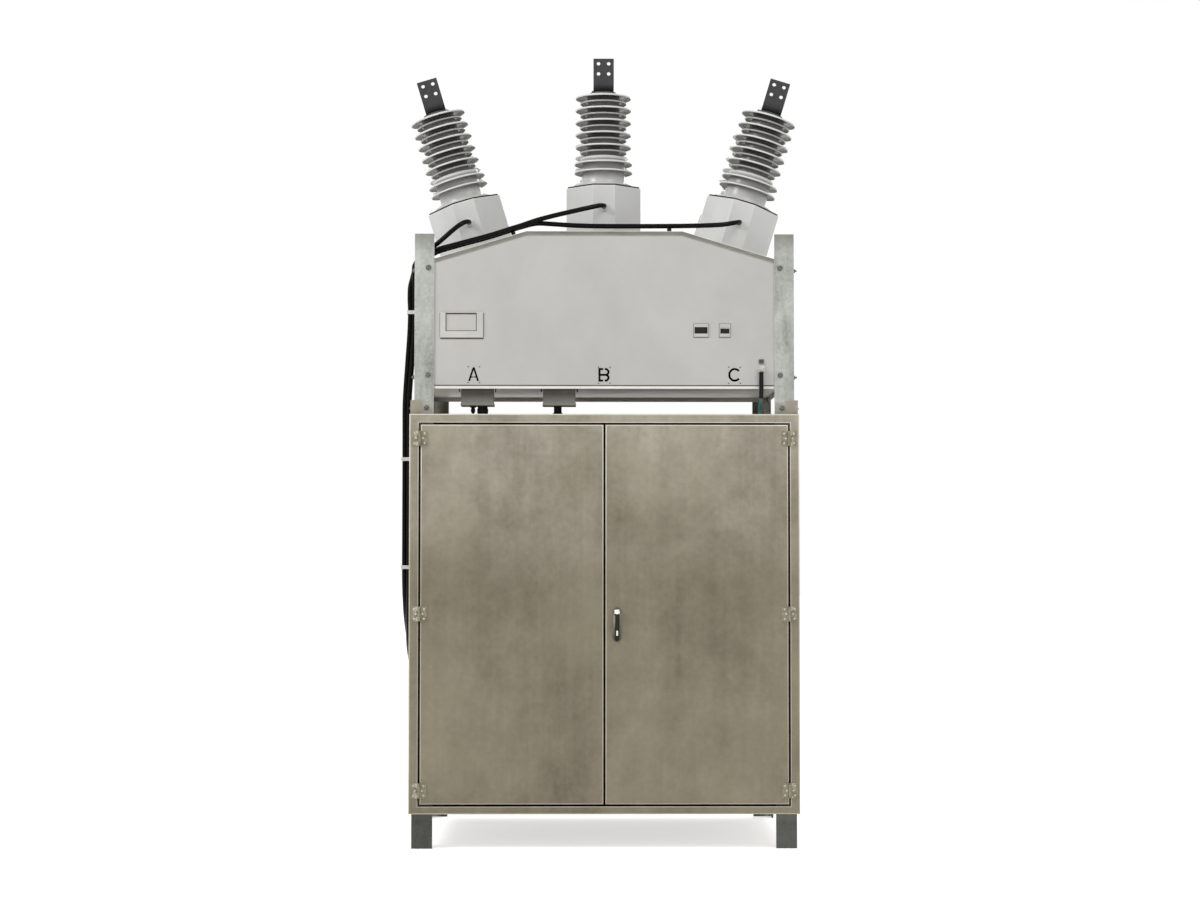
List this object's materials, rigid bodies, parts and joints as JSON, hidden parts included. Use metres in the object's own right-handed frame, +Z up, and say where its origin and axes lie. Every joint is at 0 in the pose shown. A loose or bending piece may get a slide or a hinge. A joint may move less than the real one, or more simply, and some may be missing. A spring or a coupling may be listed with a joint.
{
  "type": "outdoor vacuum circuit breaker",
  "caption": "Outdoor dead tank vacuum circuit breaker: ribbed bushings over current transformer housings, grey tank in an angle steel frame, drive cabinet with hinged doors.",
  "frame": {"origin": "on the floor under the middle of the whole object", "axes": "+Z up, the doors face -Y, the cables run down the -X side"},
  "size_m": [1.5361, 1.244, 3.059],
  "materials": {
    "galvanised_steel": "spangled matt zinc",
    "cabinet_steel": "bare mill sheet, mottled",
    "hinge_steel": "dull steel",
    "handle_chrome": "polished",
    "tank_paint": "satin grey paint",
    "housing_paint": "satin light grey paint",
    "insulator_silicone": "smooth grey silicone rubber",
    "terminal_metal": "dark dull plating",
    "gland_plastic": "moulded",
    "cable_sheath": "extruded sheath",
    "earth_sheath": "extruded sheath",
    "zinc_fittings": "bright zinc"
  },
  "bodies": {
    "breaker": {"leg_front_left": "galvanised_steel", "leg_front_right": "galvanised_steel", "leg_rear_left": "galvanised_steel", "leg_rear_right": "galvanised_steel", "post_front_left": "galvanised_steel", "post_front_right": "galvanised_steel", "post_rear_left": "galvanised_steel", "post_rear_right": "galvanised_steel", "front_frame": "cabinet_steel", "left_wall": "cabinet_steel", "right_wall": "cabinet_steel", "back_wall": "cabinet_steel", "cabinet_roof": "cabinet_steel", "cabinet_floor": "cabinet_steel", "frame_hinge_leaves": "hinge_steel", "tank_walls": "tank_paint", "tank_roof": "tank_paint", "tank_floor": "tank_paint", "ct_housing_a_front": "housing_paint", "ct_housing_b_front": "housing_paint", "ct_housing_c_front": "housing_paint", "ct_housing_a_rear": "housing_paint", "ct_housing_b_rear": "housing_paint", "ct_housing_c_rear": "housing_paint", "insulator_a_front": "insulator_silicone", "insulator_b_front": "insulator_silicone", "insulator_c_front": "insulator_silicone", "insulator_a_rear": "insulator_silicone", "insulator_b_rear": "insulator_silicone", "insulator_c_rear": "insulator_silicone", "terminals_front": "terminal_metal", "terminals_rear": "terminal_metal", "nameplate_holder": "tank_paint", "indicator_windows": "tank_paint", "gland_boxes": "tank_paint", "cable_glands": "gland_plastic", "earth_terminal": "zinc_fittings", "earth_wire": "earth_sheath", "ct_cable_a": "cable_sheath", "ct_cable_b": "cable_sheath", "ct_cable_c": "cable_sheath", "cable_clips": "zinc_fittings", "cable_entry": "cabinet_steel"},
    "left_door": {"door_left": "cabinet_steel", "left_door_hinge_leaves": "hinge_steel"},
    "right_door": {"door_right": "cabinet_steel", "right_door_hinge_leaves": "hinge_steel", "handle_plate": "handle_chrome"},
    "handle": {"handle_lever": "handle_chrome"}
  },
  "joints": [
    {"name": "left_door_hinge", "type": "hinge", "parent": "breaker", "child": "left_door", "pos_m": [-0.6915, -0.598, 0.888], "axis": [0, 0, -1], "range_deg": [0, 115]},
    {"name": "right_door_hinge", "type": "hinge", "parent": "breaker", "child": "right_door", "pos_m": [0.7095, -0.598, 0.888], "axis": [0, 0, 1], "range_deg": [0, 115]},
    {"name": "handle_turn", "type": "hinge", "parent": "right_door", "child": "handle", "pos_m": [0.0565, -0.592, 0.893], "axis": [0, -1, 0], "range_deg": [0, 90]}
  ]
}
